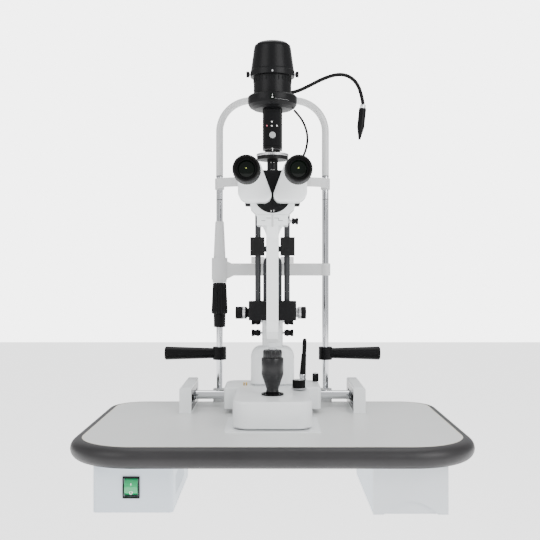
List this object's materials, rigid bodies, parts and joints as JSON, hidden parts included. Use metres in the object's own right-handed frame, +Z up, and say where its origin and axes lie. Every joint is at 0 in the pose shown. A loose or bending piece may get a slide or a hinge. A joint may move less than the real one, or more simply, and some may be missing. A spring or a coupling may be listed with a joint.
{
  "type": "slit lamp",
  "caption": "Table-top slit lamp: binocular microscope and lamp tower swivelling on a joystick-driven cross-slide base, with patient headrest, power box and accessory drawer.",
  "frame": {"origin": "centre of the lift column's bolt pattern in the underside of the table top", "axes": "+X to the examiner's right, +Y towards the patient, +Z up"},
  "size_m": [0.61, 0.4435, 0.744],
  "materials": {
    "laminate": "satin",
    "edge_band": "satin",
    "white_paint": "semi-gloss",
    "grey_paint": "semi-gloss",
    "dark_paint": "satin",
    "black_paint": "satin",
    "black_plastic": "satin",
    "black_rubber": "matt",
    "grey_plastic": "satin",
    "green_rocker": "gloss",
    "chrome_tube": "polished",
    "steel": "ground",
    "aluminium": "satin",
    "lens_glass": "coated",
    "bulb_glass": "clear",
    "strap_rubber": "matt",
    "chin_plastic": "gloss"
  },
  "bodies": {
    "table": {"table_top": "laminate", "table_edge": "edge_band", "glide_plate": "white_paint", "power_box": "white_paint", "power_supply": "dark_paint", "drawer_housing": "white_paint", "rail_racks": "steel", "rail_covers": "white_paint", "headrest_brackets": "grey_paint", "headrest_posts": "chrome_tube", "headrest_arch": "grey_paint", "forehead_holder": "grey_paint", "forehead_strap": "strap_rubber", "hand_grips": "black_plastic", "supply_cable_lower": "black_rubber"},
    "rocker": {"switch_rocker": "green_rocker"},
    "drawer": {"drawer_tray": "grey_plastic"},
    "chinrest": {"chinrest_sleeve": "grey_paint", "chinrest_bar": "grey_paint", "chin_cup": "chin_plastic"},
    "chinrest_screw": {"chinrest_knob": "black_plastic"},
    "fixation": {"fixation_arm": "black_rubber", "fixation_lamp": "black_plastic"},
    "carriage": {"axle_sliders": "black_plastic"},
    "axle": {"axle_shaft": "chrome_tube", "axle_pinions": "steel"},
    "base": {"base_cover": "white_paint", "base_plate": "aluminium", "column_guide": "steel", "cable_boot": "black_rubber", "supply_cable_upper": "black_rubber"},
    "gimbal": {"joystick_gimbal": "steel"},
    "joystick": {"joystick_stem": "black_plastic"},
    "grip": {"joystick_grip": "black_plastic"},
    "release_button": {"joystick_button": "grey_plastic"},
    "dial": {"brightness_dial": "black_plastic"},
    "base_lock": {"base_lock_knob": "black_plastic"},
    "column": {"column_shaft": "steel", "column_dome": "white_paint"},
    "microscope": {"microscope_arm": "white_paint", "magnification_housing": "white_paint", "objective_lenses": "lens_glass"},
    "microscope_locks": {"microscope_lock_screws": "black_plastic"},
    "drum": {"magnification_drum": "black_plastic"},
    "left_prism": {"left_prism_housing": "white_paint"},
    "right_prism": {"right_prism_housing": "white_paint"},
    "left_ocular": {"left_eyepiece": "black_plastic"},
    "right_ocular": {"right_eyepiece": "black_plastic"},
    "lamp_swivel": {"lamp_arm": "white_paint", "lamp_base_block": "black_paint"},
    "lamp_locks": {"lamp_lock_screws": "black_plastic"},
    "slit_knobs": {"slit_width_knobs": "black_plastic"},
    "tower": {"lamp_rods": "dark_paint", "lamp_bracket": "dark_paint", "slit_tube": "black_paint", "lamp_lead": "black_rubber"},
    "filter": {"filter_knob": "grey_plastic"},
    "lamp_head": {"lamp_housing": "black_paint", "lamp_cap": "black_paint", "lamp_bulb": "bulb_glass"}
  },
  "joints": [
    {"name": "power_switch", "type": "hinge", "parent": "table", "child": "rocker", "pos_m": [-0.203, -0.176, -0.0315], "axis": [1, 0, 0], "range_deg": [0, 14]},
    {"name": "drawer_pull", "type": "slide", "parent": "table", "child": "drawer", "axis": [0, -1, 0], "range_m": [0, 0.16]},
    {"name": "chinrest_lift", "type": "slide", "parent": "table", "child": "chinrest", "axis": [0, 0, 1], "range_m": [-0.035, 0.04]},
    {"name": "chinrest_screw_turn", "type": "hinge", "parent": "chinrest", "child": "chinrest_screw", "pos_m": [-0.101, 0.208, 0.23], "axis": [0, 0, 1], "range_deg": [-2110, 2410]},
    {"name": "fixation_swivel", "type": "hinge", "parent": "table", "child": "fixation", "pos_m": [0.01, 0.208, 0.61], "axis": [0, 0, 1], "range_deg": [-60, 60]},
    {"name": "base_in_out", "type": "slide", "parent": "table", "child": "carriage", "axis": [0, 1, 0], "range_m": [-0.059, 0.02], "deforming": ["supply_cable_lower"]},
    {"name": "axle_roll", "type": "hinge", "parent": "carriage", "child": "axle", "pos_m": [0, 0.1537, 0.051], "axis": [1, 0, 0], "range_deg": [-76, 221]},
    {"name": "base_left_right", "type": "slide", "parent": "carriage", "child": "base", "axis": [1, 0, 0], "range_m": [-0.05, 0.05], "deforming": ["supply_cable_upper"]},
    {"name": "joystick_forward", "type": "hinge", "parent": "base", "child": "gimbal", "pos_m": [0, -0.015, 0.06], "axis": [1, 0, 0], "range_deg": [-7.5, 7.5]},
    {"name": "joystick_sideways", "type": "hinge", "parent": "gimbal", "child": "joystick", "pos_m": [0, -0.015, 0.06], "axis": [0, 1, 0], "range_deg": [-7.5, 7.5]},
    {"name": "joystick_turn", "type": "hinge", "parent": "joystick", "child": "grip", "pos_m": [0, -0.015, 0.12], "axis": [0, 0, 1], "range_deg": [-1090, 5]},
    {"name": "joystick_press", "type": "slide", "parent": "grip", "child": "release_button", "axis": [0, 0, 1], "range_m": [-0.0015, 0], "stiffness_N_per_m": 1200, "springref_m": 0.0005},
    {"name": "brightness_turn", "type": "hinge", "parent": "base", "child": "dial", "pos_m": [0.045, 0.039, 0.085], "axis": [0, 0, 1], "range_deg": [-270, 0]},
    {"name": "base_lock_turn", "type": "hinge", "parent": "base", "child": "base_lock", "pos_m": [0.079, 0.148, 0.085], "axis": [0, 0, 1], "range_deg": [-90, 0]},
    {"name": "elevation", "type": "slide", "parent": "base", "child": "column", "axis": [0, 0, 1], "range_m": [0, 0.03]},
    {"name": "microscope_swing", "type": "hinge", "parent": "column", "child": "microscope", "pos_m": [0, 0.125, 0.167], "axis": [0, 0, 1], "range_deg": [-60, 60]},
    {"name": "microscope_lock_turn", "type": "hinge", "parent": "microscope", "child": "microscope_locks", "pos_m": [0, 0.125, 0.167], "axis": [1, 0, 0], "range_deg": [-180, 0]},
    {"name": "magnification_turn", "type": "hinge", "parent": "microscope", "child": "drum", "pos_m": [0, -0.06, 0.3985], "axis": [1, 0, 0], "continuous": true},
    {"name": "left_prism_swing", "type": "hinge", "parent": "microscope", "child": "left_prism", "pos_m": [-0.012, -0.118, 0.4], "axis": [0, 1, 0], "range_deg": [-2, 18]},
    {"name": "right_prism_swing", "type": "hinge", "parent": "microscope", "child": "right_prism", "pos_m": [0.012, -0.118, 0.4], "axis": [0, 1, 0], "range_deg": [-18, 2]},
    {"name": "left_dioptre_turn", "type": "hinge", "parent": "left_prism", "child": "left_ocular", "pos_m": [-0.0378, -0.15, 0.427], "axis": [0, 1, 0], "range_deg": [-120, 120]},
    {"name": "right_dioptre_turn", "type": "hinge", "parent": "right_prism", "child": "right_ocular", "pos_m": [0.0378, -0.15, 0.427], "axis": [0, 1, 0], "range_deg": [-120, 120]},
    {"name": "lamp_swing", "type": "hinge", "parent": "column", "child": "lamp_swivel", "pos_m": [0, 0.125, 0.187], "axis": [0, 0, 1], "range_deg": [-60, 60]},
    {"name": "lamp_lock_turn", "type": "hinge", "parent": "lamp_swivel", "child": "lamp_locks", "pos_m": [0, 0.125, 0.1875], "axis": [1, 0, 0], "range_deg": [-180, 0]},
    {"name": "slit_width_turn", "type": "hinge", "parent": "lamp_swivel", "child": "slit_knobs", "pos_m": [0, 0.055, 0.207], "axis": [1, 0, 0], "range_deg": [-150, 0]},
    {"name": "tower_tilt", "type": "hinge", "parent": "lamp_swivel", "child": "tower", "pos_m": [0, 0.055, 0.207], "axis": [1, 0, 0], "range_deg": [0, 15]},
    {"name": "filter_turn", "type": "hinge", "parent": "tower", "child": "filter", "pos_m": [0, 0.032, 0.51], "axis": [0, 1, 0], "range_deg": [-90, 90]},
    {"name": "slit_rotation", "type": "hinge", "parent": "tower", "child": "lamp_head", "pos_m": [0, 0.055, 0.6], "axis": [0, 0, 1], "range_deg": [-90, 90]}
  ],
  "couplings": [
    {"joint": "axle_roll", "follows": "base_in_out", "rad_per_m": -64.516},
    {"joint": "chinrest_screw_turn", "follows": "chinrest_lift", "rad_per_m": 1047.2},
    {"joint": "joystick_turn", "follows": "elevation", "rad_per_m": -628.32},
    {"joint": "right_prism_swing", "follows": "left_prism_swing", "ratio": -1}
  ]
}
